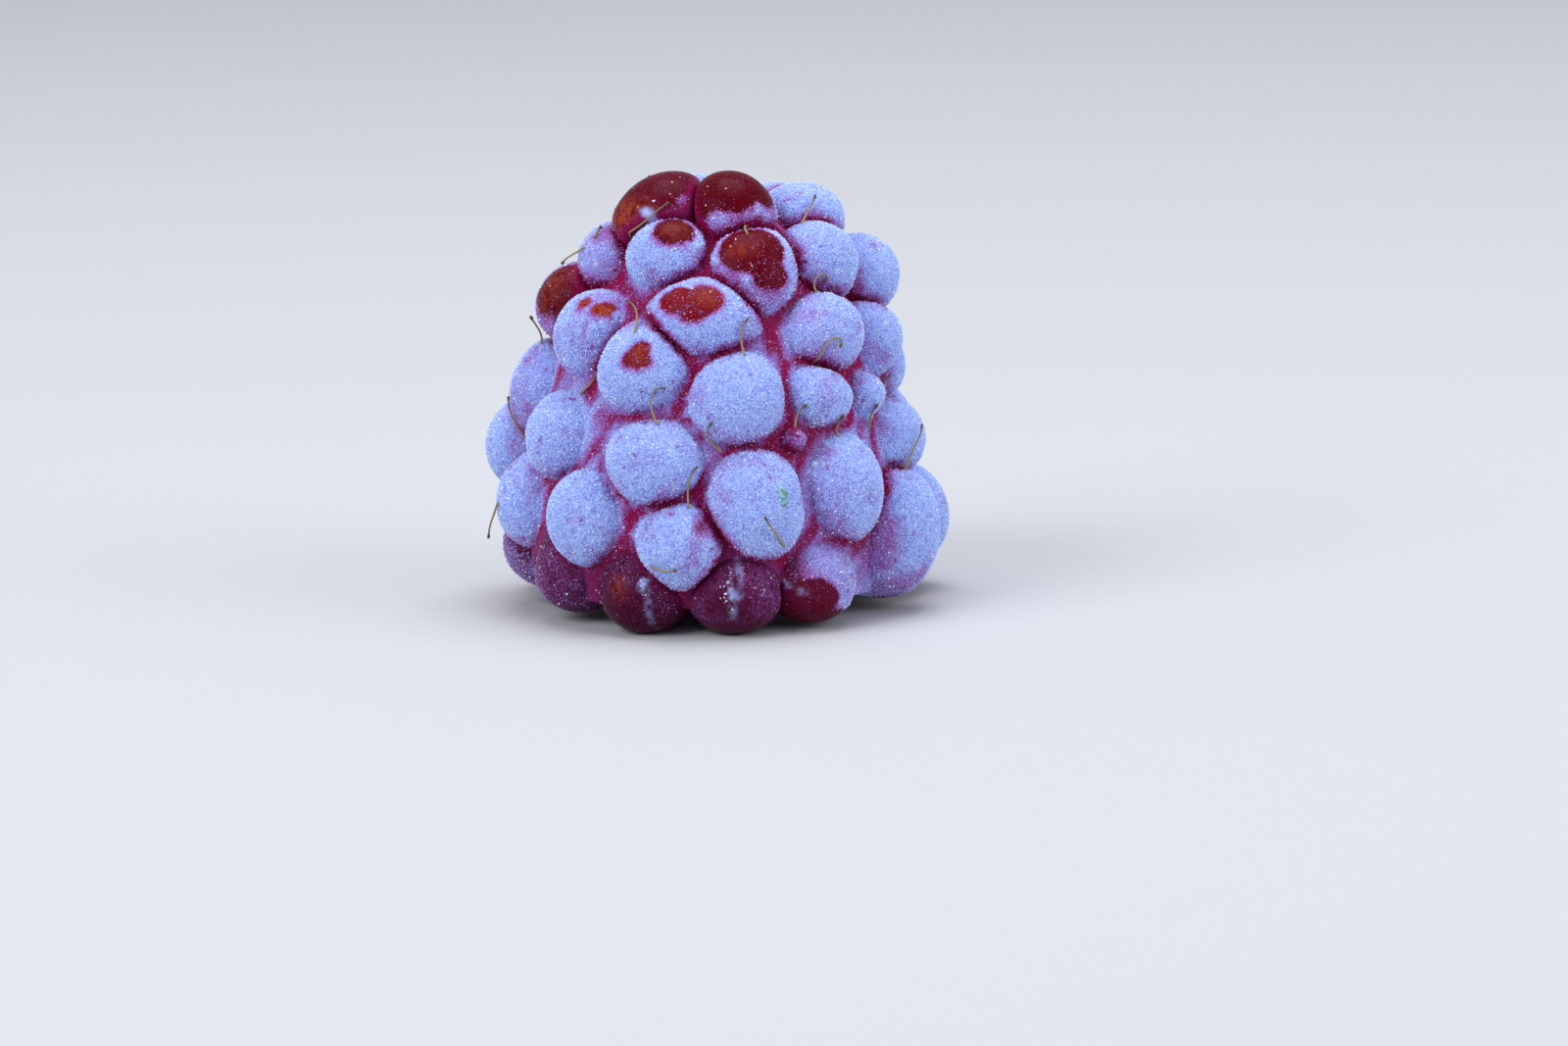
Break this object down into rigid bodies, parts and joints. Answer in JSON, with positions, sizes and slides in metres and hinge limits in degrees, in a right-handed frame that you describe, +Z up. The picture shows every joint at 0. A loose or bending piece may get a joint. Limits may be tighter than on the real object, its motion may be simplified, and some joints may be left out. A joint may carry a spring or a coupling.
{
  "type": "raspberry",
  "caption": "Hollow raspberry of round drupelets grown together, standing tip up on its open end, its skin under a thin white frost with some bare glossy red patches.",
  "frame": {"origin": "on the surface that the fruit stands on, under the middle of its outline", "axes": "+Z up through the tip, -Y towards the side that shows best, +X to the right of that side"},
  "size_m": [0.0212, 0.0206, 0.0202],
  "materials": {
    "frosted_skin": "deep red glossy skin under a thin granular hoarfrost, crimson in the grooves between the drupelets"
  },
  "bodies": {
    "root": {"raspberry": "frosted_skin"}
  },
  "joints": []
}
